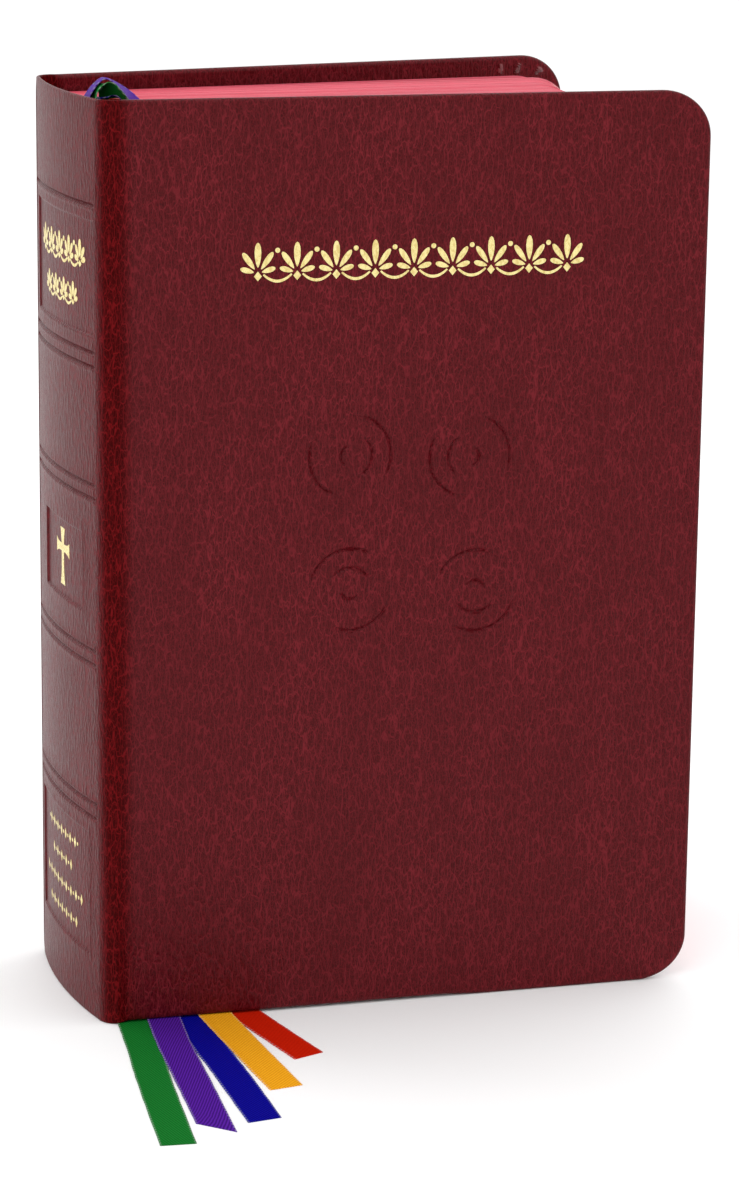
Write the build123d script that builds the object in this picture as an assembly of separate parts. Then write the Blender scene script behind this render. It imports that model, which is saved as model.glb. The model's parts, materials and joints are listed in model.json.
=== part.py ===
from build123d import *
import math
import os

os.makedirs("parts", exist_ok=True)

# A flexible-covered prayer book, standing upright. Millimetres, +Z up.
# The bench frame used below has X running from the spine to the fore-edge, Y running from the
# front cover to the back cover, and its origin at the front outer corner of the spine. The whole
# book is moved at the end, so that its origin is the bottom centre of its box without the ribbons.

# ---- driving dimensions ----
COVER_H = 178.0          # height of the covers and of the spine
COVER_W = 118.2          # spine corner to fore-edge of a cover
BOOK_T = 48.0            # outside thickness at the spine
PAGE_H = 171.5           # trimmed page height
PAGE_W = 111.0           # trimmed page width, from the fold
LEATHER = 0.6            # bonded leather on a cover
SPINE_LEATHER = 0.8      # bonded leather on the spine
BOARD = 0.8              # flexible card in a cover
TURN_IN = 0.2            # skived leather turned in over the board
TURN_IN_W = 12.0         # width of the turn-in
PASTEDOWN = 0.15
FLYLEAF = 0.25           # two bonded leaves
COVER_CORNER = 10.0      # rounded fore-edge corners of the covers
PAGE_CORNER = 9.0        # rounded fore-edge corners of the pages
SECTIONS = 20            # sewn gatherings
FRONT_MOVING = 3         # gatherings that lift as the front cover opens
BACK_MOVING = 5          # gatherings that lift as the back cover opens
RIBBON_SLOT = 1.5        # opening in the block where the five ribbons lie
STACK_START = 2.55       # front face of the first gathering at the fold
SECTION_GAP = 0.07       # air between two gatherings at the fold
JOINT_R = 3.9            # outside radius of the soft corners beside the spine
JOINT_X = 2.6            # where the corner runs out into the cover
SPINE_BULGE = -2.7       # furthest point of the rounded spine
HINGE_GAP = 0.5          # leather left free between spine and cover plate
STIFFENER = 0.4          # card glued inside the spine leather
STIFFENER_AIR = 0.05     # glue between them
STIFFENER_SIDE = 5.0     # card edge to the spine's corner
STIFFENER_END = 3.0      # card edge to the head and tail of the spine
BOARD_INSET = 1.5        # board edge to cover edge
FLOOR_RELIEF = 0.7       # front cover lifted clear of the ribbons on the floor
RELIEF_END = 70.0        # how far from the spine that relief reaches

# ---- angles, degrees about +Z seen from above ----
FRONT_CLOSED = -1.5      # front face of the closed block
BACK_CLOSED = 2.4        # back face of the closed block
FRONT_AJAR = 2.6         # front cover stands open by this
BACK_AJAR = 6.2          # back cover stands open by this
FLYLEAF_RATIO = 0.42     # share of the cover's angle that a flyleaf follows
FRONT_RATIOS = [0.078, 0.058, 0.035]
BACK_RATIOS = [0.015, 0.028, 0.042, 0.055, 0.068]

# ---- ribbons ----
RIBBON_CORE = 0.5        # diameter of the plain tube that stands for a ribbon
RIBBON_ARC_SHARE = 0.45  # share of the shorter run that an arc takes up

SQUARE = (COVER_H - PAGE_H) / 2
COVER_T = LEATHER + BOARD + TURN_IN
SECTION_PITCH = (BOOK_T - 2 * STACK_START - RIBBON_SLOT) / SECTIONS
SECTION_T = SECTION_PITCH - SECTION_GAP
FRONT_REST = FRONT_CLOSED - FRONT_AJAR
BACK_REST = BACK_CLOSED + BACK_AJAR

nodes = {}
axes = {}


def turned(shape, degrees, x, y):
    """The shape turned about the upright line through (x, y)."""
    return Pos(x, y, 0) * Rot(0, 0, degrees) * Pos(-x, -y, 0) * shape


def along(x, y, angle, distance):
    """The point at a distance from (x, y) in a direction given in degrees."""
    turn = math.radians(angle)
    return (x + distance * math.cos(turn), y + distance * math.sin(turn))


def prism(outline, low, high):
    """A closed plan outline carried up from one height to another."""
    return extrude(Pos(0, 0, low) * make_face(outline), high - low)


# ---- the rounded spine, its corners and what lies behind it ----
def corner_centre(angle, side):
    """Centre of the soft corner beside a cover that stands at angle; side is -1 in front, 1 behind."""
    cover_y = BOOK_T if side > 0 else 0
    edge_y = cover_y + math.tan(math.radians(angle)) * JOINT_X
    return along(JOINT_X, edge_y, angle - 90 * side, JOINT_R)


FRONT_CENTRE = corner_centre(FRONT_REST, -1)
BACK_CENTRE = corner_centre(BACK_REST, 1)
SPINE_END_ANGLE = 171.3  # direction in which the corners meet the rounded spine


def spine_points(inset):
    """The spine's plan curve at a depth under its outside: two corners and the arc between them."""
    radius = JOINT_R - inset
    start = along(*FRONT_CENTRE, FRONT_REST - 90, radius)
    front_mid = along(*FRONT_CENTRE, (FRONT_REST - 90 - SPINE_END_ANGLE) / 2, radius)
    front_end = along(*FRONT_CENTRE, -SPINE_END_ANGLE, radius)
    back_end = along(*BACK_CENTRE, SPINE_END_ANGLE, radius)
    back_mid = along(*BACK_CENTRE, (BACK_REST + 90 + SPINE_END_ANGLE) / 2, radius)
    finish = along(*BACK_CENTRE, BACK_REST + 90, radius)
    middle = (SPINE_BULGE + inset, BOOK_T / 2)
    return start, front_mid, front_end, middle, back_end, back_mid, finish


def spine_leather():
    outer = spine_points(0)
    inner = spine_points(SPINE_LEATHER)
    outline = []
    for curve in (outer, inner):
        outline += [ThreePointArc(*curve[first:first + 3]) for first in (0, 2, 4)]
    outline += [Line(outer[0], inner[0]), Line(outer[6], inner[6])]
    return prism(outline, 0, COVER_H)


def spine_stiffener():
    """A curved strip of card lying against the inside of the spine leather."""
    outside = spine_points(0)
    arc = ThreePointArc(outside[2], outside[3], outside[4])
    centre = arc.arc_center
    outer = arc.radius - SPINE_LEATHER - STIFFENER_AIR
    faces = []
    for reach in (outer, outer - STIFFENER):
        points = []
        for y in (STIFFENER_SIDE, BOOK_T / 2, BOOK_T - STIFFENER_SIDE):
            points.append((centre.X - math.sqrt(reach ** 2 - (y - centre.Y) ** 2), y))
        faces.append(points)
    outline = [ThreePointArc(*faces[0]), ThreePointArc(*faces[1])]
    outline += [Line(faces[0][0], faces[1][0]), Line(faces[0][2], faces[1][2])]
    return prism(outline, STIFFENER_END, COVER_H - STIFFENER_END)


# ---- the text block ----
FOLD_X = 2.8             # fold centre of the outermost gatherings
FOLD_ROUND = 0.8         # how far the middle folds stand out towards the spine
FORE_EDGE_HOLLOW = 4.5   # how far the middle leaves stand back at the fore-edge


def off_middle(y):
    """0 in the middle of the block, -1 and 1 at its front and back."""
    return (y - BOOK_T / 2) / (BOOK_T / 2 - STACK_START)


def fold_x(y):
    """The folds follow the rounded spine."""
    return FOLD_X - FOLD_ROUND * (1 - off_middle(y) ** 2)


def page_width(y):
    """The fore-edge is hollow, as the spine is round."""
    return PAGE_W - FORE_EDGE_HOLLOW * (1 - off_middle(y) ** 2)


def section_start(index):
    """Front face of a gathering at its fold; the ribbons lie after the moving front ones."""
    slot = RIBBON_SLOT if index >= FRONT_MOVING else 0
    return STACK_START + index * SECTION_PITCH + slot


def section_offset(index):
    """How far a gathering stands off its closed place while the covers are ajar."""
    if index < FRONT_MOVING:
        return -FRONT_RATIOS[index] * FRONT_AJAR
    if index >= SECTIONS - BACK_MOVING:
        return BACK_RATIOS[index - SECTIONS + BACK_MOVING] * BACK_AJAR
    return 0.0


UNTRIMMED_W = PAGE_W + 1
TRIM_REACH = 8.0         # the trimming outline passes this far to each side of a gathering


def page_outline(x, width, y_low, y_high):
    """Everything inside the trimmed page edge with its rounded fore-edge corners."""
    with BuildPart() as outline:
        with BuildSketch(Plane.XZ.offset(-y_low)):
            with Locations((x + width - COVER_W / 2, COVER_H / 2)):
                RectangleRounded(COVER_W, PAGE_H, PAGE_CORNER)
        extrude(amount=-(y_high - y_low))
    return outline.part


def section(index):
    """One gathering: a rounded fold and leaves that swell a little towards the fore-edge."""
    y = section_start(index) + SECTION_PITCH / 2
    x = fold_x(y)
    swell = (BACK_CLOSED - FRONT_CLOSED) / SECTIONS
    front_angle = FRONT_CLOSED + index * swell
    back_angle = front_angle + swell
    front_fold = (x, y - SECTION_T / 2)
    back_fold = (x, y + SECTION_T / 2)
    front_edge = along(*front_fold, front_angle, UNTRIMMED_W)
    back_edge = along(*back_fold, back_angle, UNTRIMMED_W)
    outline = [
        Line(front_fold, front_edge),
        Line(front_edge, back_edge),
        Line(back_edge, back_fold),
        ThreePointArc(back_fold, (x - SECTION_T / 2, y), front_fold),
    ]
    block = prism(outline, SQUARE, SQUARE + PAGE_H)
    block = block & page_outline(x, page_width(y), y - TRIM_REACH, y + TRIM_REACH)
    return turned(block, section_offset(index), x, y), (x, y)


def spine_sheet(depth, thickness, y_low, y_high, low, high):
    """A sheet that follows the folds at a depth outside them."""
    outline = []
    ends = []
    for reach in (depth, depth + thickness):
        points = []
        for y in (y_low, (y_low + y_high) / 2, y_high):
            points.append((fold_x(y) - SECTION_T / 2 - reach, y))
        outline.append(ThreePointArc(*points))
        ends.append(points)
    outline += [Line(ends[0][0], ends[1][0]), Line(ends[0][2], ends[1][2])]
    return prism(outline, low, high)


def fold_rod(depth, radius, z, y_low, y_high):
    """A thread or cord laid along the folds at a height."""
    points = []
    for y in (y_low, (y_low + y_high) / 2, y_high):
        points.append((fold_x(y) - SECTION_T / 2 - depth, y, z))
    path = ThreePointArc(*points)
    return sweep(Plane(path @ 0, z_dir=path % 0) * Circle(radius), path)


# ---- the covers, made flat at angle zero with the outside at y = 0 ----
def cover_plate(x_low, inset, y_low, thickness, corner):
    """A flat plate with rounded fore-edge corners, inset from the cover's edge."""
    width = COVER_W - inset - x_low
    height = COVER_H - 2 * inset
    with BuildPart() as plate:
        with BuildSketch(Plane.XZ.offset(-y_low)):
            with Locations((x_low + width / 2, COVER_H / 2)):
                Rectangle(width, height)
            right = [v for v in vertices() if v.X > x_low + width / 2]
            fillet(right, corner)
        extrude(amount=-thickness)
    return plate.part


PLATE_START = JOINT_X + HINGE_GAP
FILLER_CORNER = 1.0      # corners of the filler inside the turned-in leather


def cover_leather(relief):
    """Leather outside the board, round its edges and turned in over it."""
    skin = cover_plate(PLATE_START, 0, 0, COVER_T, COVER_CORNER)
    inner_corner = COVER_CORNER - BOARD_INSET
    skin -= cover_plate(PLATE_START + BOARD_INSET, BOARD_INSET, LEATHER, BOARD, inner_corner)
    skin -= cover_plate(
        PLATE_START + TURN_IN_W, TURN_IN_W, LEATHER + BOARD, TURN_IN, FILLER_CORNER)
    if relief:
        length = RELIEF_END - PLATE_START
        skin -= Pos(PLATE_START + length / 2, COVER_T / 2, 0) * Box(length, 2 * COVER_T, 2 * relief)
    return skin


def cover_board():
    """Flexible card, with a filler that brings it level with the turned-in leather."""
    board = cover_plate(
        PLATE_START + BOARD_INSET, BOARD_INSET, LEATHER, BOARD, COVER_CORNER - BOARD_INSET)
    filler = cover_plate(
        PLATE_START + TURN_IN_W, TURN_IN_W, LEATHER + BOARD, TURN_IN, FILLER_CORNER)
    return board + filler


PASTEDOWN_INSET = 7.0    # pastedown edge to cover edge
PASTEDOWN_START = 1.0    # pastedown edge to the hinge end of the plate
PASTEDOWN_CORNER = 4.0


def pastedown():
    return cover_plate(
        PLATE_START + PASTEDOWN_START, PASTEDOWN_INSET, COVER_T, PASTEDOWN, PASTEDOWN_CORNER)


FLYLEAF_X = 3.3          # the flyleaf's fold, from the spine's front corner
FLYLEAF_AIR = 0.3        # closed cover to flyleaf
FLYLEAF_Y = COVER_T + PASTEDOWN + FLYLEAF_AIR


def flyleaf():
    """Free leaf beside the cover, at its closed place, cut like the pages."""
    leaf = Pos(FLYLEAF_X + PAGE_W / 2, FLYLEAF_Y + FLYLEAF / 2, COVER_H / 2) * Box(
        PAGE_W, FLYLEAF, PAGE_H)
    return leaf & page_outline(FLYLEAF_X - 1, PAGE_W, 0, FLYLEAF_Y + TRIM_REACH)


def front_placed(shape):
    """From the flat cover's place to the front of the book, standing ajar."""
    return turned(shape, FRONT_REST, 0, 0)


def back_placed(shape):
    """Mirrored to the back of the book, standing ajar."""
    return turned(Pos(0, BOOK_T, 0) * mirror(shape, Plane.XZ), BACK_REST, 0, BOOK_T)


# ---- build: spine, case and block ----
nodes["spine_leather"] = spine_leather()
nodes["spine_stiffener"] = spine_stiffener()
nodes["front_cover_leather"] = front_placed(cover_leather(FLOOR_RELIEF))
nodes["front_cover_board"] = front_placed(cover_board())
nodes["front_pastedown"] = front_placed(pastedown())
nodes["back_cover_leather"] = back_placed(cover_leather(0))
nodes["back_cover_board"] = back_placed(cover_board())
nodes["back_pastedown"] = back_placed(pastedown())
axes["front_cover"] = along(*FRONT_CENTRE, FRONT_REST - 90, JOINT_R)
axes["back_cover"] = along(*BACK_CENTRE, BACK_REST + 90, JOINT_R)

FLYLEAF_MID = FLYLEAF_Y + FLYLEAF / 2
front_leaf_angle = FRONT_CLOSED - FLYLEAF_RATIO * FRONT_AJAR
back_leaf_angle = BACK_CLOSED + FLYLEAF_RATIO * BACK_AJAR
back_leaf = Pos(0, BOOK_T, 0) * mirror(flyleaf(), Plane.XZ)
nodes["front_flyleaf"] = turned(flyleaf(), front_leaf_angle, FLYLEAF_X, FLYLEAF_MID)
nodes["back_flyleaf"] = turned(back_leaf, back_leaf_angle, FLYLEAF_X, BOOK_T - FLYLEAF_MID)
axes["front_flyleaf"] = (FLYLEAF_X, FLYLEAF_MID)
axes["back_flyleaf"] = (FLYLEAF_X, BOOK_T - FLYLEAF_MID)

for number in range(SECTIONS):
    name = f"page_section_{number + 1:02d}"
    nodes[name], axes[name] = section(number)

SHEET_SIDE = 0.4                     # uncovered edge of the outer folds
BLOCK_LOW = STACK_START + SHEET_SIDE
BLOCK_HIGH = BOOK_T - BLOCK_LOW
SEWING_HEIGHTS = [SQUARE + PAGE_H * share for share in (0.07, 0.28, 0.5, 0.72, 0.93)]
THREAD = 0.22                        # sewing thread
THREAD_DEPTH = 0.1                   # air between the folds and what lies outside them
MULL = 0.2                           # gauze glued over the folds
MULL_DEPTH = 0.4
MULL_END = 12.0                      # gauze edge to the head of the spine
LINING = 0.3                         # kraft paper glued over the gauze
LINING_END = 5.0
BAND_R = 0.4                         # headband core
BAND_REACH = 0.5                     # how far the band sits in from the folds' outside
BAND_AIR = 0.03
HEADBAND_Z = SQUARE + PAGE_H + BAND_R + BAND_AIR
HEADER = 0.15                        # strip that the ribbons are glued to
HEADER_DEPTH = 1.0
HEADER_SIDES = (7.5, 14.9)
HEADER_ENDS = (140, 172)

threads = []
for z in SEWING_HEIGHTS:
    threads.append(spine_sheet(
        THREAD_DEPTH, THREAD, BLOCK_LOW, BLOCK_HIGH, z - THREAD / 2, z + THREAD / 2))
nodes["sewing_threads"] = Part() + threads
nodes["mull"] = spine_sheet(
    MULL_DEPTH, MULL, BLOCK_LOW, BLOCK_HIGH, MULL_END, COVER_H - MULL_END)
nodes["spine_lining"] = spine_sheet(
    MULL_DEPTH + MULL, LINING, BLOCK_LOW, BLOCK_HIGH, LINING_END, COVER_H - LINING_END)
nodes["headband"] = fold_rod(-BAND_REACH, BAND_R, HEADBAND_Z, BLOCK_LOW, BLOCK_HIGH)
nodes["tailband"] = fold_rod(-BAND_REACH, BAND_R, COVER_H - HEADBAND_Z, BLOCK_LOW, BLOCK_HIGH)
nodes["ribbon_header"] = spine_sheet(HEADER_DEPTH, HEADER, *HEADER_SIDES, *HEADER_ENDS)

# ---- ribbons: routes in the bench frame, from the header over the head and down to the floor ----
SLOT_AIR = 0.4           # front layer of ribbons to the leaves in front of it
LAYER_PITCH = 0.65       # front layer to back layer
FRONT_LAYER = section_start(FRONT_MOVING) - RIBBON_SLOT + SLOT_AIR
BACK_LAYER = FRONT_LAYER + LAYER_PITCH
SLOT_SLOPE = 0.017       # the opening leans with the leaves on either side of it
FLOOR_Z = 0.3


def front(x, z):
    """A point of the front layer of ribbons inside the block."""
    return (x, FRONT_LAYER - SLOT_SLOPE * x, z)


def back(x, z):
    """A point of the back layer of ribbons inside the block."""
    return (x, BACK_LAYER - SLOT_SLOPE * x, z)


ROUTES = {
    "ribbon_green": [
        (-0.35, 10.2, 150), (-0.35, 10.25, 166), (-0.1, 10.2, 175.5), (1.6, 10.1, 179.6),
        (4.4, 9.9, 180.2), (6.9, 9.5, 177.8), front(7.8, 172), front(8.0, 160),
        front(7.7, 136), front(7.5, 92), front(7.0, 48),
        front(6.8, 20), front(6.7, 8), front(6.65, 2.9),
        (6.5, 8.2, 1.0), (6.1, 5.6, 0.4), (4.7, -2.0, FLOOR_Z), (2.6, -16.0, FLOOR_Z),
        (-0.6, -34.0, FLOOR_Z), (-4.9, -62.8, FLOOR_Z)],
    "ribbon_purple": [
        (-0.25, 9.2, 150), (-0.25, 9.15, 166), (-0.1, 9.2, 175.5), (1.2, 9.3, 180.6),
        (5.2, 9.4, 181.6), (8.4, 9.3, 178.2), front(9.2, 172), front(9.5, 160),
        front(9.9, 136), front(11.0, 92), front(12.3, 48),
        front(12.8, 20), front(13.0, 8), front(13.05, 2.9),
        (12.8, 8.2, 1.0), (12.4, 5.6, 0.4), (11.3, -2.0, FLOOR_Z), (8.9, -16.0, FLOOR_Z),
        (7.3, -30.0, FLOOR_Z), (3.9, -57.2, FLOOR_Z)],
    "ribbon_blue": [
        (-0.4, 11.2, 150), (-0.4, 11.25, 166), (-0.2, 11.2, 174.6), (1.0, 11.0, 176.3),
        (2.9, 9.9, 176.2), back(3.6, 173), back(4.4, 164),
        back(6.6, 136), back(10.4, 92), back(14.6, 48),
        back(16.6, 20), back(17.3, 8), back(17.4, 2.9),
        (17.3, 8.8, 1.0), (17.1, 6.0, 0.4), (16.0, -2.0, FLOOR_Z), (14.5, -18.0, FLOOR_Z),
        (14.2, -32.0, FLOOR_Z), (13.0, -56.4, FLOOR_Z)],
    "ribbon_gold": [
        (-0.4, 12.2, 150), (-0.4, 12.25, 166), (-0.2, 12.2, 174.6), (1.2, 12.0, 176.3),
        (4.1, 10.0, 176.2), back(4.9, 173), back(6.1, 164),
        back(8.6, 136), back(13.7, 92), back(18.2, 48),
        back(20.4, 20), back(21.2, 8), back(21.3, 2.9),
        (21.3, 8.8, 1.0), (21.2, 6.0, 0.4), (21.1, -2.4, FLOOR_Z), (21.7, -16.0, FLOOR_Z),
        (22.1, -42.2, FLOOR_Z)],
    "ribbon_red": [
        (-0.4, 13.2, 150), (-0.4, 13.25, 166), (-0.2, 13.2, 174.6), (1.4, 12.9, 176.3),
        (5.3, 10.1, 176.2), back(6.2, 173), back(7.2, 164),
        back(10.6, 136), back(16.4, 92), back(22.0, 48),
        back(24.5, 20), back(25.5, 8), back(25.6, 2.9),
        (25.7, 8.8, 1.0), (25.9, 6.0, 0.4), (27.3, -3.2, FLOOR_Z), (29.0, -14.0, FLOOR_Z),
        (31.4, -27.8, FLOOR_Z)],
}


def arc_radii(points):
    """The arc at each corner takes up a fixed share of its shorter run."""
    radii = []
    for before, corner, after in zip(points, points[1:], points[2:]):
        into = Vector(*corner) - Vector(*before)
        out = Vector(*after) - Vector(*corner)
        half_turn = math.radians(into.get_angle(out) / 2)
        radii.append(RIBBON_ARC_SHARE * min(into.length, out.length) / math.tan(half_turn))
    return radii


def ribbon(points):
    """A plain tube along a ribbon's route."""
    path = FilletPolyline(*points, radius=arc_radii(points))
    return sweep(Plane(path @ 0, z_dir=path % 0) * Circle(RIBBON_CORE / 2), path), path.length


for name, points in ROUTES.items():
    nodes[name], length = ribbon(points)
    share = nodes[name].volume / (math.pi * (RIBBON_CORE / 2) ** 2 * length)
    radii = " ".join(f"{radius:.1f}" for radius in arc_radii(points))
    print(f"{name}: length {length:.1f} mm, volume share {share:.3f}, arc radii {radii}")

# ---- place the book on its origin and write it out ----
solid_boxes = [shape.bounding_box() for name, shape in nodes.items() if name not in ROUTES]
SHIFT_X = -(min(box.min.X for box in solid_boxes) + max(box.max.X for box in solid_boxes)) / 2
SHIFT_Y = -(min(box.min.Y for box in solid_boxes) + max(box.max.Y for box in solid_boxes)) / 2
print(f"bench frame moved by {SHIFT_X:.3f}, {SHIFT_Y:.3f}")

for name, shape in nodes.items():
    export_step(Pos(SHIFT_X, SHIFT_Y, 0) * shape, f"parts/{name}.step")

for name, (x, y) in axes.items():
    print(f"axis {name}: {(x + SHIFT_X) / 1000:.5f}, {(y + SHIFT_Y) / 1000:.5f}")
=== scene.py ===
"""A leather-covered prayer book standing slightly ajar, with five satin ribbon markers."""
import json
import math
import random

import bmesh
import bpy
from mathutils import Matrix, Vector


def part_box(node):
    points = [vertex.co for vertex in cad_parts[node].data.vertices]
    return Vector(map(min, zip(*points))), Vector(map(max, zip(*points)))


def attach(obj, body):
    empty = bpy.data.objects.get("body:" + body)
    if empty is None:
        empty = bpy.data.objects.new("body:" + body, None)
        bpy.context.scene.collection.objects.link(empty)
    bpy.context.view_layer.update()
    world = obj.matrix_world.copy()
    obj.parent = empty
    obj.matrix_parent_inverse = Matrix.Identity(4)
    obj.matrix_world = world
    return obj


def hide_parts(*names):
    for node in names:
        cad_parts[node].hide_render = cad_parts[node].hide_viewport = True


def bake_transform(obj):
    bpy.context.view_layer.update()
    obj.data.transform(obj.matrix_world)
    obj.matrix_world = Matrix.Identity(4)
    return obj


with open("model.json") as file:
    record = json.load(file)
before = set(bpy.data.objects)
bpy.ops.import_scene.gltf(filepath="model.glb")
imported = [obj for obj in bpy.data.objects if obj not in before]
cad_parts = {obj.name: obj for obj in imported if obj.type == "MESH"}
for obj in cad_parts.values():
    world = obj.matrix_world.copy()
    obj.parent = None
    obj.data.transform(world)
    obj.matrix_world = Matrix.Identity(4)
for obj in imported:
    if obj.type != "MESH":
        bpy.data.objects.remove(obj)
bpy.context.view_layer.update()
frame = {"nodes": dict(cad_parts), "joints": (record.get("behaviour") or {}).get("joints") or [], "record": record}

# ---- sizes, in millimetres in the bench frame: X from the spine to the fore-edge, Y from the front
# cover to the back cover, origin at the front outer corner of the spine, Z up ----
MM = 0.001
UP = Vector((0, 0, 1))
joints = {joint["name"]: joint for joint in frame["joints"]}
FRONT_HINGE = Vector(joints["front_cover_hinge"]["pos_m"])
BACK_HINGE = Vector(joints["back_cover_hinge"]["pos_m"])
JOINT_X = 2.6                  # where the soft corner runs out into the cover
JOINT_R = 3.9                  # outside radius of the soft corner
FRONT_ANGLE = -4.1             # a cover's direction in its own corner frame, degrees
BACK_ANGLE = -8.6
SPINE_END_ANGLE = 171.3        # direction in which the corners meet the rounded spine
ORIGIN = FRONT_HINGE / MM - Vector((JOINT_X, math.tan(math.radians(FRONT_ANGLE)) * JOINT_X, 0))
BOOK_T = round((BACK_HINGE.y - FRONT_HINGE.y) / MM - JOINT_X * (
    math.tan(math.radians(-BACK_ANGLE)) - math.tan(math.radians(FRONT_ANGLE))), 2)
COVER_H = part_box("spine_leather")[1].z / MM
COVER_W = 118.2
SPINE_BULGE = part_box("spine_leather")[0].x / MM - ORIGIN.x
SPINE_T = 0.8                  # leather on the spine and corners
COVER_T = 1.6                  # leather, card and turned-in leather
SKIN_T = 0.6                   # leather outside the card
CORNER_R = 10.0                # fore-edge corners of the covers
PLATE_START = 3.1              # where the stiff part of a cover starts
BOARD_INSET = 1.5
TURN_IN = 12.0                 # width of the leather turned in over the card
BLOCK_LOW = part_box("page_section_10")[0].z / MM
BLOCK_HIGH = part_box("page_section_10")[1].z / MM
PAGE_CORNER = 9.0
SECTIONS = 20
RIBBON_W = 6.6
SAME = 1e-6                    # positions closer than this are one


def at(x, y, z):
    """A bench point in millimetres as a point in the row frame in metres."""
    return Vector((x + ORIGIN.x, y + ORIGIN.y, z)) * MM


def heading(turn):
    """Direction in plan at an angle in radians from +X."""
    return Vector((math.cos(turn), math.sin(turn)))


def smooth(low, high, value):
    """0 below low, 1 above high, and a smooth step between them."""
    share = min(1.0, max(0.0, (value - low) / (high - low)))
    return share * share * (3 - 2 * share)


def add_object(name, data):
    thing = bpy.data.objects.new(name, data)
    bpy.context.scene.collection.objects.link(thing)
    return thing


# ---- camera, light and floor ----
CAMERA_AT = (-185.95, -661.03, 251.74)
CAMERA_TURN = 19.849           # degrees from +Y towards +X
CAMERA_DROP = 13.675
CAMERA_ROLL = 0.665
CAMERA_LENS = 112.67
SKY_STRENGTH = 1.12
LIGHTS_AIM = (0.0, 0.0, 0.09)
LIGHTS = {"key": ((-0.35, -0.75, 1.05), 0.5, 2), "back": ((-0.75, 0.85, 0.75), 0.6, 3),
          "top": ((0.35, 0.1, 1.2), 0.6, 3)}     # place and size in metres, power in watts
FLOOR_REACH = 6.0


def make_camera():
    drop = math.radians(CAMERA_DROP)
    roll = math.radians(CAMERA_ROLL)
    level = heading(math.radians(-CAMERA_TURN)).to_3d()
    forward = (UP.cross(level) * math.cos(drop) - UP * math.sin(drop))
    rise = level.cross(forward)
    right = math.cos(roll) * level + math.sin(roll) * rise
    up = math.cos(roll) * rise - math.sin(roll) * level
    data = bpy.data.cameras.new("camera")
    data.lens = CAMERA_LENS
    data.sensor_width = 36
    data.clip_start = 0.01
    camera = add_object("camera", data)
    camera.matrix_world = Matrix.Translation(at(*CAMERA_AT)) @ Matrix(
        (right, up, -forward)).transposed().to_4x4()
    bpy.context.scene.camera = camera


def make_studio():
    world = bpy.data.worlds.new("studio")
    bpy.context.scene.world = world
    world.use_nodes = True
    sky = world.node_tree.nodes["Background"]
    sky.inputs["Color"].default_value = (1, 1, 1, 1)
    sky.inputs["Strength"].default_value = SKY_STRENGTH
    for name, (place, size, power) in LIGHTS.items():
        data = bpy.data.lights.new(name, "AREA")
        data.size = size
        data.energy = power
        lamp = add_object(name, data)
        lamp.location = place
        lamp.rotation_euler = (Vector(LIGHTS_AIM) - Vector(place)).to_track_quat("-Z", "Y").to_euler()
    mesh = bpy.data.meshes.new("floor")
    corners = [(x * FLOOR_REACH, y * FLOOR_REACH, 0) for x, y in ((-1, -1), (1, -1), (1, 1), (-1, 1))]
    mesh.from_pydata(corners, [], [(0, 1, 2, 3)])
    paint = Paint("floor_paper", (0.92, 0.92, 0.92), 0.6)
    grain = paint.node("TexNoise", Scale=900.0).outputs["Fac"]
    mesh.materials.append(paint.finish(Normal=paint.bump(grain, 0.04, 0.2)))
    add_object("floor", mesh)


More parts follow.
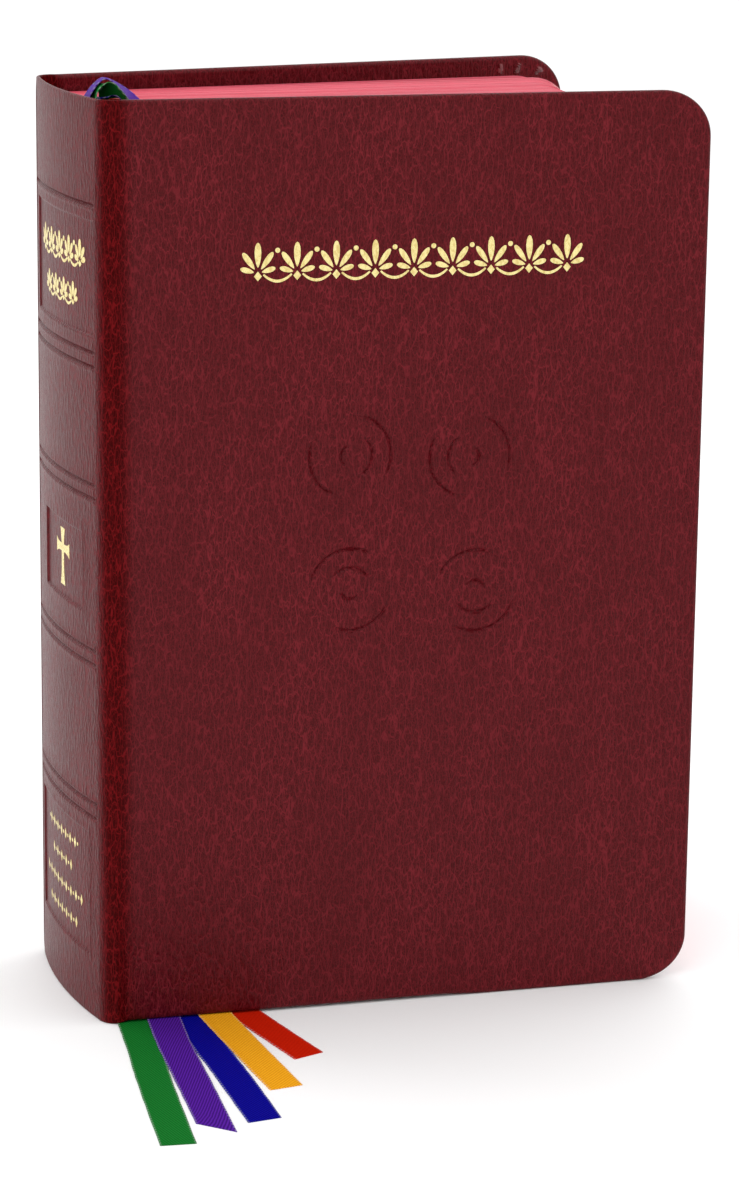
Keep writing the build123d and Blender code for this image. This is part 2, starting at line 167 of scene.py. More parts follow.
# ---- materials: an input takes a number, a colour, a vector or another node's output ----
class Paint:
    """A material while its nodes are being made."""

    def __init__(self, name, colour, roughness):
        self.material = bpy.data.materials.new(name)
        self.material.use_nodes = True
        self.material.diffuse_color = (*colour, 1)
        self.tree = self.material.node_tree
        self.finish(Base_Color=colour, Roughness=roughness)

    def put(self, socket, value):
        if isinstance(value, bpy.types.NodeSocket):
            self.tree.links.new(value, socket)
        elif socket.type == "RGBA":
            socket.default_value = (*value, 1)
        else:
            socket.default_value = value

    def node(self, kind, **values):
        """A node with its inputs, by their names with _ for a space, and its other settings."""
        node = self.tree.nodes.new("ShaderNode" + kind)
        for key, value in values.items():
            socket = node.inputs.get(key.replace("_", " "))
            if socket is None:
                setattr(node, key, value)
            else:
                self.put(socket, value)
        return node

    def finish(self, **values):
        """Sets the shader's own inputs and gives the material."""
        for key, value in values.items():
            self.put(self.tree.nodes["Principled BSDF"].inputs[key.replace("_", " ")], value)
        return self.material

    def maths(self, operation, *values, kind="Math"):
        node = self.node(kind, operation=operation)
        for socket, value in zip(node.inputs, values):
            self.put(socket, value)
        return node.outputs[0]

    def weigh(self, first, second, share):
        """The first value by a share, and the second by the rest of it."""
        return self.maths("ADD", self.maths("MULTIPLY", first, share),
                          self.maths("MULTIPLY", second, 1 - share))

    def mix(self, factor, first, second):
        """A mix of two colours."""
        node = self.node("Mix", data_type="RGBA")
        for place, value in ((0, factor), (6, first), (7, second)):
            self.put(node.inputs[place], value)
        return node.outputs[2]

    def ramp(self, value, low, high, to_low=0.0, to_high=1.0):
        """A value carried smoothly from low..high to to_low..to_high."""
        return self.node("MapRange", interpolation_type="SMOOTHSTEP", Value=value, From_Min=low,
                         From_Max=high, To_Min=to_low, To_Max=to_high).outputs["Result"]

    def place(self, axis):
        """The object coordinate along an axis, in metres."""
        coords = self.node("TexCoord").outputs["Object"]
        return self.node("SeparateXYZ", Vector=coords).outputs[axis]

    def spread(self, sizes_mm, wobble=0.0, wobble_scale=1.0):
        """Object coordinates divided by a feature size in each direction, and pushed about by noise."""
        place = self.node("Mapping", Vector=self.node("TexCoord").outputs["Object"],
                          Scale=[1 / (size * MM) for size in sizes_mm]).outputs["Vector"]
        if not wobble:
            return place
        noise = self.texture("Noise", place, "Color", Scale=wobble_scale, Detail=2.0)
        centred = self.maths("SUBTRACT", noise, (0.5,) * 3, kind="VectorMath")
        return self.maths("MULTIPLY_ADD", centred, (wobble,) * 3, place, kind="VectorMath")

    def texture(self, kind, vector, output="Fac", **values):
        return self.node("Tex" + kind, Vector=vector, **values).outputs[output]

    def noise(self, sizes_mm, detail):
        return self.texture("Noise", self.spread(sizes_mm), Scale=1.0, Detail=detail)

    def cells(self, sizes_mm, wobble, wobble_scale):
        """The distance to the nearest border between cells of about the given sizes."""
        return self.texture("Voronoi", self.spread(sizes_mm, wobble, wobble_scale), "Distance",
                            feature="DISTANCE_TO_EDGE", Scale=1.0)

    def bump(self, height, strength, distance_mm, **below):
        """The normal of a surface raised by a height, over the Normal of a coarser relief."""
        return self.node("Bump", Strength=strength, Distance=distance_mm * MM, Height=height,
                         **below).outputs["Normal"]


def leather_material(name, tone, gloss):
    """Bonded leather pressed with long upright grain; painted shade makes it darker, and less glossy, in a band
    where the corners bend.
    """
    def shade(*colour):
        return tuple(tone * c for c in colour)

    paint = Paint(name, shade(0.075, 0.003, 0.005), 0.34)
    cells = paint.cells((1.05, 1.05, 3.9), 1.5, 0.9)
    small = paint.cells((0.46, 0.46, 1.2), 0.9, 1.0)
    pores = paint.noise((0.2, 0.2, 0.32), 3.0)
    fine_vein = paint.ramp(small, 0.0, 0.14, 1.0, 0.0)
    vein = paint.maths("MAXIMUM", paint.ramp(cells, 0.0, 0.085, 1.0, 0.0),
                       paint.maths("MULTIPLY", fine_vein, 0.5))
    patchy = paint.ramp(paint.noise((9, 9, 26), 3.0), 0.3, 0.7, 0.66, 1.0)
    ground = paint.mix(paint.ramp(pores, 0.3, 0.7), shade(0.044, 0.0008, 0.0018),
                       shade(0.084, 0.0036, 0.0058))
    veined = paint.mix(paint.maths("MULTIPLY", vein, patchy), ground, shade(0.150, 0.0096, 0.0152))
    # painted shade: a band along the soft corner by the spine turns a deeper, darker red and shines less
    along = paint.place("X")
    corner = ORIGIN.x * MM
    joint_shade = paint.maths("MULTIPLY", paint.ramp(along, corner - 0.0014, corner + 0.0006),
                       paint.ramp(along, corner + 0.0022, corner + 0.0064, 1.0, 0.0))
    joint_shade_colour = paint.mix(vein, shade(0.034, 0.0001, 0.0002), shade(0.135, 0.003, 0.004))
    domes = paint.bump(paint.ramp(cells, 0.0, 0.35), 0.7, 0.10)
    small_domes = paint.bump(paint.ramp(small, 0.0, 0.35), 0.6, 0.04, Normal=domes)
    return paint.finish(
        Base_Color=paint.mix(paint.maths("MULTIPLY", joint_shade, 0.85), veined, joint_shade_colour),
        Specular_IOR_Level=paint.ramp(joint_shade, 0.0, 1.0, gloss, 0.3 * gloss),
        Roughness=paint.ramp(vein, 0.0, 1.0, 0.30, 0.44),
        Normal=paint.bump(pores, 0.4, 0.016, Normal=small_domes))


def foil_material():
    paint = Paint("gold_foil", (0.90, 0.78, 0.36), 0.32)
    rub = paint.noise((0.5, 0.5, 0.8), 4.0)
    return paint.finish(
        Base_Color=paint.mix(paint.ramp(rub, 0.35, 0.7), (0.86, 0.74, 0.33), (0.66, 0.51, 0.18)),
        Metallic=0.6, Roughness=paint.ramp(rub, 0.3, 0.7, 0.24, 0.45), Normal=paint.bump(rub, 0.35, 0.03))


def ribbon_material(name, colour, light):
    """Satin ribbon: a fine slanting twill across, and a rougher selvedge whose paler dots are painted highlights
    on the picots.
    """
    paint = Paint(name, colour, 0.5)
    uv = paint.node("UVMap", uv_map="weave").outputs["UV"]
    slanted = paint.node("Mapping", Vector=uv, Rotation=(0, 0, math.radians(19))).outputs["Vector"]
    twill = paint.texture("Wave", slanted, Scale=0.6, Distortion=0.9, Detail=2.0)
    yarn = paint.texture("Noise", uv, Scale=2.6, Detail=3.0)
    tone = paint.mix(paint.ramp(paint.weigh(twill, yarn, 0.6), 0.2, 0.8), colour, light)
    off_middle = paint.maths("ABSOLUTE", paint.node("SeparateXYZ", Vector=uv).outputs["X"])
    selvedge = paint.ramp(off_middle, RIBBON_W / 2 - 0.42, RIBBON_W / 2 - 0.22)
    stitches = paint.texture("Wave", uv, bands_direction="Y", Scale=0.29)
    # painted highlight: paler dots along each selvedge stand for light caught on the picots
    picot_highlight = paint.maths("MULTIPLY", paint.maths("MULTIPLY", selvedge, stitches), 0.55)
    return paint.finish(
        Base_Color=paint.mix(picot_highlight, tone, tuple(0.45 * c + 0.3 for c in light)), Specular_IOR_Level=0.03,
        Normal=paint.bump(yarn, 0.3, 0.03, Normal=paint.bump(twill, 0.6, 0.06)))


def edge_material():
    """The block's stained edges, with the cut ends of the leaves as fine lines."""
    paint = Paint("stained_page_edges", (0.58, 0.056, 0.096), 0.5)
    leaves = paint.noise((45, 0.11, 45), 4.0)
    uneven = paint.weigh(leaves, paint.noise((70, 1.1, 70), 2.0), 0.6)
    return paint.finish(
        Base_Color=paint.mix(paint.ramp(uneven, 0.35, 0.65), (0.47, 0.026, 0.056), (0.67, 0.058, 0.106)),
        Normal=paint.bump(leaves, 0.6, 0.05))


def paper_material(name, colour, fibre_mm=0.5, stain=None):
    """Fibrous paper; a stain colour creeps in a millimetre from the head and tail of the block."""
    paint = Paint(name, colour, 0.75)
    fibre = paint.noise((fibre_mm, fibre_mm, fibre_mm * 1.8), 5.0)
    uneven = paint.maths("MULTIPLY", fibre, paint.noise((18, 18, 18), 2.0))
    tone = paint.mix(paint.ramp(uneven, 0.1, 0.45), tuple(c * 0.86 for c in colour), colour)
    if stain is not None:
        middle = (BLOCK_LOW + BLOCK_HIGH) / 2
        reach = BLOCK_HIGH - middle
        off_middle = paint.maths("ABSOLUTE", paint.maths("SUBTRACT", paint.place("Z"), middle * MM))
        tone = paint.mix(paint.ramp(off_middle, (reach - 1.6) * MM, (reach - 0.8) * MM), tone, stain)
    return paint.finish(Base_Color=tone, Normal=paint.bump(fibre, 0.3, 0.04))


def woven_material(name, first, second, thread_mm):
    """Plain weave in two thread colours."""
    paint = Paint(name, first, 0.8)
    across, down = [
        paint.texture("Wave", paint.spread((thread_mm,) * 3), bands_direction=way, Scale=0.3, Distortion=0.4)
        for way in "YZ"]
    weave = paint.maths("MULTIPLY", across, down)
    return paint.finish(Base_Color=paint.mix(paint.ramp(weave, 0.1, 0.6), second, first),
                        Sheen_Weight=0.3, Normal=paint.bump(weave, 0.6, 0.08))


# ---- mesh helpers ----
def new_piece(name, points, faces, materials, body=None, face_materials=None):
    """A smooth-shaded piece of points in metres in the row frame, facing outwards, riding on a body."""
    mesh = bpy.data.meshes.new(name)
    mesh.from_pydata([tuple(point) for point in points], [], faces)
    for material in materials:
        mesh.materials.append(material)
    if face_materials is not None:
        mesh.polygons.foreach_set("material_index", face_materials)
    mesh.polygons.foreach_set("use_smooth", [True] * len(mesh.polygons))
    mesh.update()
    mesh.set_sharp_from_angle(angle=math.radians(38))
    work = bmesh.new()
    work.from_mesh(mesh)
    bmesh.ops.recalc_face_normals(work, faces=work.faces)
    work.to_mesh(mesh)
    work.free()
    piece = add_object(name, mesh)
    if body is not None:
        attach(piece, body)
    return piece


def stands_for(node):
    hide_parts(node)


def grid_lines(low, high, step, fine, lines=()):
    """Grid positions from low to high: at the lines, and closer inside fine (low, high, step) windows."""
    marks = {low, high}
    for start, end, pitch in [(low, high, step), *fine]:
        count = max(1, round((end - start) / pitch))
        marks.update(start + (end - start) * place / count for place in range(count + 1))
    forced = [line for line in lines if low < line < high]
    chosen = []
    for mark in sorted(mark for mark in marks if low <= mark <= high):
        pitches = [pitch for start, end, pitch in fine if start - SAME <= mark <= end + SAME]
        room = 0.45 * min(pitches or [step])
        if mark in (low, high) or all(abs(mark - other) >= room for other in forced + chosen[-1:]):
            chosen.append(mark)
    return sorted({*chosen, *forced})


# ---- ribbons ----
FLOOR = 0.1                    # height of a ribbon's middle where it lies on the floor
FRONT_LAYER = 9.1              # where the front ribbons lie in the opening between two gatherings
BACK_LAYER = 9.72
SLOT_SLOPE = 0.017             # the opening leans with the leaves on either side of it
SLOT_HEIGHTS = (136, 92, 48, 20, 8, 2.9)
RIBBON_T = 0.12
SELVEDGE_LIFT = 0.1
CUT_LENGTH = 9                 # the stretch at the end over which the slanting cut spreads
PICOT_PITCH = 1.1

# Each ribbon's route: over the head, into the opening in its layer, straight down it at SLOT_HEIGHTS
# and out over the floor. A point is x, y, z, or x, z in the opening, or x alone at SLOT_HEIGHTS. A last
# value is how far the ribbon is turned there, in degrees from lying across the spine (0) to lying along
# the pages, which is the value of "flat" wherever a point gives none. The tip raises a loop's near edge.
RIBBONS = {
    "green": {
        "head": [(-0.26, 10.2, 150, 0), (-0.28, 10.25, 166, 0), (0.0, 10.0, 174.4, 0), (0.4, 9.7, 176.3, -5),
                 (1.3, 9.7, 179.8, -6), (3.0, 9.5, 180.2, 10), (3.9, 9.2, 178.2, 30)],
        "layer": FRONT_LAYER, "flat": 90, "entry": [(6.9, 172, 75), (8.0, 160)],
        "slot": (7.7, 7.5, 7.0, 6.8, 6.7, 6.65),
        "tail": [(6.5, 8.0, 0.9), (6.1, 5.6, 0.2), (4.9, -2.0, FLOOR), (2.7, -16.0, FLOOR),
                 (-0.6, -34.0, FLOOR), (-4.9, -62.8, FLOOR)],
        "end_lean": 0.0, "tip": 0.05,
        "colours": ((0.0028, 0.088, 0.010), (0.009, 0.185, 0.026))},
    "purple": {
        "head": [(-0.4, 9.2, 150, 0), (-0.42, 9.15, 166, 0), (-0.5, 9.9, 174.6, -3), (-1.0, 11.0, 176.3, -6),
                 (2.2, 11.0, 180.9, -11), (4.7, 10.9, 180.6, -16), (9.3, 10.3, 176.5, -34)],
        "layer": FRONT_LAYER + 0.2, "flat": -90, "entry": [(9.5, 171, -80), (9.6, 160)],
        "slot": (9.9, 11.0, 12.3, 12.8, 12.9, 12.85),
        "tail": [(12.5, 8.2, 1.05), (12.0, 5.6, 0.35), (10.8, -2.0, FLOOR + 0.2), (8.6, -16.0, FLOOR + 0.2),
                 (7.2, -30.0, FLOOR + 0.1), (3.9, -57.2, FLOOR)],
        "end_lean": -2.75, "tip": 0.07,
        "colours": ((0.036, 0.005, 0.150), (0.090, 0.015, 0.310))},
    "blue": {
        "head": [(-0.12, 11.2, 150, 0), (-0.14, 11.25, 166, 0), (0.2, 11.3, 174.6, 0), (0.8, 11.4, 176.3, 0),
                 (1.7, 11.3, 177.3, 0), (4.1, 11.1, 177.4, 2), (5.0, 10.5, 176.1, 16)],
        "layer": BACK_LAYER, "flat": 90, "entry": [(3.8, 172, 75), (4.4, 162)],
        "slot": (6.6, 10.4, 14.6, 16.6, 17.3, 17.4),
        "tail": [(17.3, 8.6, 1.0), (17.1, 6.0, 0.2), (16.2, -2.0, FLOOR), (15.0, -18.0, FLOOR),
                 (14.7, -32.0, FLOOR), (13.3, -56.4, FLOOR)],
        "end_lean": -0.5, "tip": 0.1,
        "colours": ((0.0010, 0.0010, 0.130), (0.003, 0.004, 0.290))},
    "gold": {
        "head": [(0.0, 12.2, 150, 0), (0.0, 12.25, 166, 0), (0.3, 12.2, 174.4, 0), (1.2, 12.0, 175.7, 0),
                 (4.1, 10.1, 175.6, 20)],
        "layer": BACK_LAYER + 0.2, "flat": 90, "entry": [(4.9, 173, 70), (6.1, 164)],
        "slot": (8.6, 13.7, 18.2, 20.4, 21.2, 21.3),
        "tail": [(21.3, 8.8, 1.05), (21.2, 6.0, 0.35), (21.2, -2.4, FLOOR + 0.2), (21.4, -16.0, FLOOR + 0.16),
                 (22.1, -42.2, FLOOR)],
        "end_lean": -0.25, "tip": 0.0,
        "colours": ((0.620, 0.225, 0.003), (0.920, 0.440, 0.020))},
    "red": {
        "head": [(0.13, 13.2, 150, 0), (0.13, 13.25, 166, 0), (0.15, 13.2, 174.6, 0), (1.4, 12.9, 176.3, 0),
                 (5.3, 10.3, 176.2, 20)],
        "layer": BACK_LAYER + 0.38, "flat": 90, "entry": [(6.2, 173, 70), (7.2, 164)],
        "slot": (10.6, 16.4, 22.0, 24.5, 25.5, 25.6),
        "tail": [(25.7, 8.9, 1.0), (25.9, 6.0, 0.2), (27.3, -3.2, FLOOR), (29.0, -14.0, FLOOR),
                 (31.4, -27.8, FLOOR)],
        "end_lean": -0.45, "tip": 0.0,
        "colours": ((0.380, 0.005, 0.0005), (0.620, 0.018, 0.0030))},
}


def ribbon_route(spec):
    """The route as bench points, and the turn at each."""
    inside = spec["entry"] + list(zip(spec["slot"], SLOT_HEIGHTS))
    route = spec["head"] + [(x, spec["layer"] - SLOT_SLOPE * x, z, *turn) for x, z, *turn in inside]
    route += spec["tail"]
    return [point[:3] for point in route], [(*point, spec["flat"])[3] for point in route]


def smooth_line(controls):
    """Evenly stepped points of the smooth curve that the control points pull along."""
    curve = bpy.data.curves.new("route", "CURVE")
    curve.dimensions = "3D"
    spline = curve.splines.new("NURBS")
    spline.points.add(len(controls) - 1)
    for point, control in zip(spline.points, controls):
        point.co = (*control, 1)
    spline.order_u = 3
    spline.use_endpoint_u = True
    spline.resolution_u = 14
    holder = bpy.data.objects.new("route", curve)
    mesh = bpy.data.meshes.new_from_object(holder)
    line = [vertex.co.copy() for vertex in mesh.vertices]
    bpy.data.objects.remove(holder)
    bpy.data.curves.remove(curve)
    bpy.data.meshes.remove(mesh)
    return line


def ribbon_section():
    """A ribbon cut across, in millimetres: flat, with a small round selvedge at each side."""
    half = RIBBON_W / 2
    right = [(half * 0.4, RIBBON_T / 2), (half - 0.42, RIBBON_T / 2), (half - 0.26, SELVEDGE_LIFT),
             (half - 0.07, SELVEDGE_LIFT), (half, 0.0)]
    upper = [(-across, lift) for across, lift in reversed(right)] + right
    return upper + [(across, -lift) for across, lift in reversed(upper[1:-1])]


def make_ribbon(name, spec):
    places, degrees = ribbon_route(spec)
    line = smooth_line([at(*place) for place in places])
    turns = smooth_line([(turn, index, 0) for index, turn in enumerate(degrees)])
    reach = [0.0]
    for before, after in zip(line, line[1:]):
        reach.append(reach[-1] + (after - before).length)
    section = ribbon_section()
    points, woven = [], []
    for place, centre in enumerate(line):
        along = (line[min(len(line) - 1, place + 1)] - line[max(0, place - 1)]).normalized()
        turn = math.radians(turns[place].x)
        wide = Vector((math.sin(turn), -math.cos(turn), spec["tip"] * math.cos(turn)))
        wide = (wide - along * wide.dot(along)).normalized()
        face = along.cross(wide)
        lean = spec["end_lean"] * max(0.0, 1 - (reach[-1] - reach[place]) / MM / CUT_LENGTH)
        picot = 1.0 + 0.012 * math.sin(reach[place] / MM * 2 * math.pi / PICOT_PITCH)
        for across, lift in section:
            share = across / (RIBBON_W / 2)
            edge = picot if abs(share) > 0.9 else 1.0
            points.append(centre + (wide * across * edge + face * lift + along * lean * share) * MM)
            woven.append((across, reach[place] / MM))
    ring = len(section)
    faces = []
    for first in range(0, ring * (len(line) - 1), ring):
        for side in range(ring):
            other = (side + 1) % ring
            faces.append((first + side, first + other, first + ring + other, first + ring + side))
    faces.append(tuple(range(ring)))
    faces.append(tuple(reversed(range(len(points) - ring, len(points)))))
    material = ribbon_material(name + "_satin", *spec["colours"])
    piece = new_piece(name + "_ribbon", points, faces, [material], "root")
    layer = piece.data.uv_layers.new(name="weave")
    for loop in piece.data.loops:
        layer.data[loop.index].uv = woven[loop.vertex_index]
    stands_for("ribbon_" + name)


# ---- the leather case: plan curves ----
def cover_frame(side):
    """Direction of a cover and centre of its soft corner, in a frame whose Y points into the book."""
    angle = math.radians(FRONT_ANGLE if side < 0 else BACK_ANGLE)
    edge = Vector((JOINT_X, math.tan(angle) * JOINT_X))
    return angle, edge + heading(angle + math.pi / 2) * JOINT_R


def corner_span(side):
    """Where a soft corner starts, at the spine, and ends, as distances along the cover."""
    angle = cover_frame(side)[0]
    end = JOINT_X / math.cos(angle)
    return end - JOINT_R * (math.radians(SPINE_END_ANGLE) + angle - math.pi / 2), end


def cover_plan(side, reach):
    """Bench point and outward direction at a distance along a cover from the book's corner."""
    angle, centre = cover_frame(side)
    beyond = reach - corner_span(side)[1]
    out = heading(angle - math.pi / 2 + min(0.0, beyond) / JOINT_R)
    point = centre + out * JOINT_R + heading(angle) * max(0.0, beyond)
    if side > 0:
        point.y, out.y = BOOK_T - point.y, -out.y
    return point, out


def spine_circle():
    """Centre, radius and both ends of the rounded spine's outside."""
    a, c = [cover_plan(side, corner_span(side)[0])[0] for side in (-1, 1)]
    b = Vector((SPINE_BULGE, BOOK_T / 2))
    d = 2 * (a.x * (b.y - c.y) + b.x * (c.y - a.y) + c.x * (a.y - b.y))
    ux = (a.dot(a) * (b.y - c.y) + b.dot(b) * (c.y - a.y) + c.dot(c) * (a.y - b.y)) / d
    uy = (a.dot(a) * (c.x - b.x) + b.dot(b) * (a.x - c.x) + c.dot(c) * (b.x - a.x)) / d
    centre = Vector((ux, uy))
    return centre, (a - centre).length, a.y, c.y


SPINE_CENTRE, SPINE_R, SPINE_LOW, SPINE_HIGH = spine_circle()


def spine_plan(y):
    """Bench point and outward direction on the rounded spine at a place across it."""
    out = Vector((-math.sqrt(SPINE_R ** 2 - (y - SPINE_CENTRE.y) ** 2), y - SPINE_CENTRE.y)) / SPINE_R
    return SPINE_CENTRE + out * SPINE_R, out


# ---- tooling pressed into the leather; depths in millimetres, negative is pressed in ----
TITLE_PANEL = (21.9, 97.0, 139.0, 155.4)
ROUNDELS = ((47.3, 110.0, 25), (71.0, 109.0, 205), (47.5, 83.9, 115), (72.5, 82.5, 295))
ROUNDEL_ARCS = ((8.0, -70, 62), (8.0, 118, 236), (4.3, -100, 40), (1.9, 60, 230))
ROUNDEL_REACH = 10
ARC_FADE = 25                  # degrees over which an arc runs out
SPINE_LINES = (158.3, 130.8, 128.1, 105.6, 103.0, 73.5, 70.8, 43.3, 40.5)
SPINE_PANELS = ((3.9, 41.0, 134.0, 155.4), (10.0, 34.0, 80.6, 95.6), (7.5, 41.5, 12.5, 36.9))
SPINE_PANEL_DEPTHS = (0.28, 0.34, 0.3)
TITLE_PANEL_DEPTH = 0.09
LINE_W = 0.32                  # half width of the pressed lines on the spine
ARC_W = 0.28                   # and of the roundels' arcs
LINE_DEPTH = 0.42


def pressed_line(cross, burr, burr_at):
    """Profile of a pressed line with a burr thrown up on each side; places are in half widths."""
    return burr * math.exp(-(abs(cross) - burr_at) ** 2) - LINE_DEPTH * math.exp(-cross * cross)


def pressed_panel(u, z, panel, depth, wall):
    """A flat pressed panel with a soft wall and a fine ridge thrown up around it."""
    low_u, high_u, low_z, high_z = panel
    inside = min(u - low_u, high_u - u, z - low_z, high_z - z)
    ridge = 0.28 * depth * math.exp(-((inside + wall) / (0.8 * wall)) ** 2)
    return -depth * smooth(-0.5 * wall, 0.5 * wall, inside) + ridge


def roundel_depth(u, z):
    """Concentric open arcs, turned a different way in each roundel."""
    depth = 0.0
    for centre_u, centre_z, turn in ROUNDELS:
        radius = math.hypot(u - centre_u, z - centre_z)
        if radius > ROUNDEL_REACH:
            continue
        bearing = math.degrees(math.atan2(z - centre_z, u - centre_u)) - turn
        for arc_radius, start, end in ROUNDEL_ARCS:
            along = (bearing - start) % 360
            ends = min(1.0, along / ARC_FADE, (end - start - along) / ARC_FADE)
            if ends >= 0:
                depth += ends * pressed_line((radius - arc_radius) / ARC_W, 0.10, 2.0)
    return depth


def cover_relief(side, u, z, rim):
    """Height of a cover's outside over its plain form; rim is the distance to the nearest edge."""
    height = 0.16 * (math.exp(-COVER_T / 3.2) - math.exp(-rim / 1.6))
    height -= 0.22 * math.exp(-((u - 3.35) / 0.75) ** 2)
    settle = smooth(2, 12, u) * smooth(0, 8, rim)
    height += settle * 0.07 * math.sin(u / 17 + z / 31) * math.sin(z / 23 - u / 41 + side)
    if side < 0:
        height += pressed_panel(u, z, TITLE_PANEL, TITLE_PANEL_DEPTH, 0.6)
        height += roundel_depth(u, z)
    return height


def spine_relief(y, z):
    ends = smooth(SPINE_LOW, SPINE_LOW + 1.2, y) * smooth(-SPINE_HIGH, -SPINE_HIGH + 1.2, -y)
    height = 0.0
    for line in SPINE_LINES:
        height += ends * pressed_line((z - line) / LINE_W, 0.13, 2.1)
    for panel, depth in zip(SPINE_PANELS, SPINE_PANEL_DEPTHS):
        height += pressed_panel(y, z, panel, depth, 0.5)
    return height


# ---- the leather case: shells ----
ROLL_STEPS = 7                 # faces round a half-round edge


class Shell:
    """A leather skin: an outer and an inner grid joined by a rolled edge. A face's kind is its material."""

    def __init__(self):
        self.points = []
        self.faces = []
        self.kinds = []

    def add(self, point):
        self.points.append(at(*point))
        return len(self.points) - 1

    def face(self, corners, kind=0):
        self.faces.append(tuple(corners))
        self.kinds.append(kind)

    def quads(self, grid, kind_of=None):
        """Faces over a grid; kind_of(column, row, corners) gives the kind, or None for an open face."""
        for column in range(len(grid) - 1):
            for row in range(len(grid[0]) - 1):
                corners = (grid[column][row], grid[column + 1][row], grid[column + 1][row + 1],
                           grid[column][row + 1])
                kind = kind_of(column, row, corners) if kind_of else 0
                if kind is not None:
                    self.face(corners, kind)

    def strip(self, first, second, closed=False):
        for place in range(len(first) - (0 if closed else 1)):
            after = (place + 1) % len(first)
            self.face((first[place], first[after], second[after], second[place]))

    def rolled_edge(self, rim):
        """Half-round edge along a rim of (outer index, inner index, middle, out, away, radius)."""
        rings = [[entry[0] for entry in rim]]
        for step in range(1, ROLL_STEPS):
            turn = math.pi * step / ROLL_STEPS
            rings.append([self.add(middle + (out * math.cos(turn) + away * math.sin(turn)) * radius)
                          for _, _, middle, out, away, radius in rim])
        rings.append([entry[1] for entry in rim])
        for first, second in zip(rings, rings[1:]):
            self.strip(first, second)
        return rings


def lifted(plan, z, lift):
    """Bench point at a height over a plain outside, and the outward direction there."""
    point, out = plan
    return Vector((*point, z)) + out.to_3d() * lift, out.to_3d()


def around(marks, reach, step):
    """Fine grid windows round some marks."""
    return [(mark - reach, mark + reach, step) for mark in marks]


def make_spine(material):
    shell = Shell()
    fine_y = around([edge for panel in SPINE_PANELS for edge in panel[:2]], 0.7, 0.2)
    fine_z = around([edge for panel in SPINE_PANELS for edge in panel[2:]], 0.7, 0.2)
    fine_z += around(SPINE_LINES, 0.9, 0.15) + [(0, 3, 0.5), (COVER_H - 3, COVER_H, 0.5)]
    rows = grid_lines(0, COVER_H, 1.6, fine_z)
    radius = SPINE_T / 2
    outer, inner, low_rim, high_rim = [], [], [], []
    for y in grid_lines(SPINE_LOW, SPINE_HIGH, 0.9, fine_y):
        outer.append([])
        inner.append([])
        for row in rows:
            z = radius + row * (COVER_H - SPINE_T) / COVER_H
            outer[-1].append(shell.add(lifted(spine_plan(y), z, spine_relief(y, z))[0]))
            inner[-1].append(shell.add(lifted(spine_plan(y), z, -SPINE_T)[0]))
        for rim, z, away, end in ((low_rim, radius, -UP, 0), (high_rim, COVER_H - radius, UP, -1)):
            rim.append((outer[-1][end], inner[-1][end], *lifted(spine_plan(y), z, -radius), away, radius))
    shell.quads(outer)
    shell.quads(inner)
    rolls = [shell.rolled_edge(low_rim), shell.rolled_edge(high_rim)]
    for end in (0, -1):
        shell.strip(outer[end], inner[end])
        for rings in rolls:
            shell.face(ring[end] for ring in rings)
    piece = new_piece("spine_leather_tooled", shell.points, shell.faces, [material], "root")
    stands_for("spine_leather")


PLEAT_REACH = 6.0              # how far inside the rounded corner the pleats start
PLEAT_DEPTH = 4.6              # how far from the edges they run, clear of the page block
PLEAT_HEIGHT = 0.7
RIDGE_SHINES = 0.2             # height from which a pleat's ridge takes the lighter, glossier leather, a painted highlight
CORNER_REACH = 16              # how far the rounded fore-edge corners draw the grid together
EDGE_R = CORNER_R - COVER_T / 2                # of the grid's outline, inside the rolled edge
EASE = 8                       # how far from head and tail the grid makes room for the rolled edges
HOLE = (PLATE_START + TURN_IN, COVER_W - TURN_IN, TURN_IN, COVER_H - TURN_IN)      # in the turned-in leather


def cover_thickness(u):
    return SPINE_T + (COVER_T - SPINE_T) * smooth(2.8, 3.9, u)


def pleats(u, z):
    """Folds where the leather is gathered round a fore-edge corner inside the cover."""
    across = u - (COVER_W - CORNER_R - PLEAT_REACH)
    rise = abs(z - COVER_H / 2) - (COVER_H / 2 - CORNER_R - PLEAT_REACH)
    if across < 0 or rise < 0:
        return 0.0
    bearing = math.atan2(rise, across)
    spread = math.exp(-((bearing - 0.95) / 0.7) ** 2)
    wave = max(0.0, math.sin(17 * bearing + 1.2 * math.sin(5 * bearing))) ** 1.5
    to_rim = CORNER_R - math.hypot(max(0.0, across - PLEAT_REACH), max(0.0, rise - PLEAT_REACH))
    ends = smooth(2.0, 5.0, math.hypot(across, rise)) * smooth(0.8, 2.0, to_rim)
    clear = smooth(0.0, 1.4, PLEAT_DEPTH - min(COVER_W - u, z, COVER_H - z))
    return PLEAT_HEIGHT * spread * wave * clear * ends


def tail_lift(side, u):
    """The front cover's tail edge rides a little over the ribbons."""
    return 0.42 * smooth(0.5, 5.0, u) * smooth(-76, -66, -u) if side < 0 else 0.0


def cover_grid(side):
    """Distances along and up a cover, close together where it is tooled, bent or rounded."""
    start, corner_end = corner_span(side)
    last = COVER_W - COVER_T / 2
    arc_rows = [EDGE_R * (1 - math.cos(math.radians(step * 6))) for step in range(1, 15)]
    fine_u = [(start, corner_end, 0.3), (corner_end, 5, 0.22), (last - CORNER_REACH, last, 0.4)]
    fine_z = [(0, CORNER_REACH, 0.4), (COVER_H - CORNER_REACH, COVER_H, 0.4)]
    if side < 0:
        fine_u += around([roundel[0] for roundel in ROUNDELS], 8.8, 0.3) + around(TITLE_PANEL[:2], 0.9, 0.25)
        fine_z += around([roundel[1] for roundel in ROUNDELS], 8.8, 0.3) + around(TITLE_PANEL[2:], 0.9, 0.25)
    columns = grid_lines(start, last, 2.4, fine_u, [*HOLE[:2], corner_end])
    return columns, grid_lines(0, COVER_H, 2.4, fine_z, [
        *HOLE[2:], *arc_rows, *(COVER_H - row for row in arc_rows)])


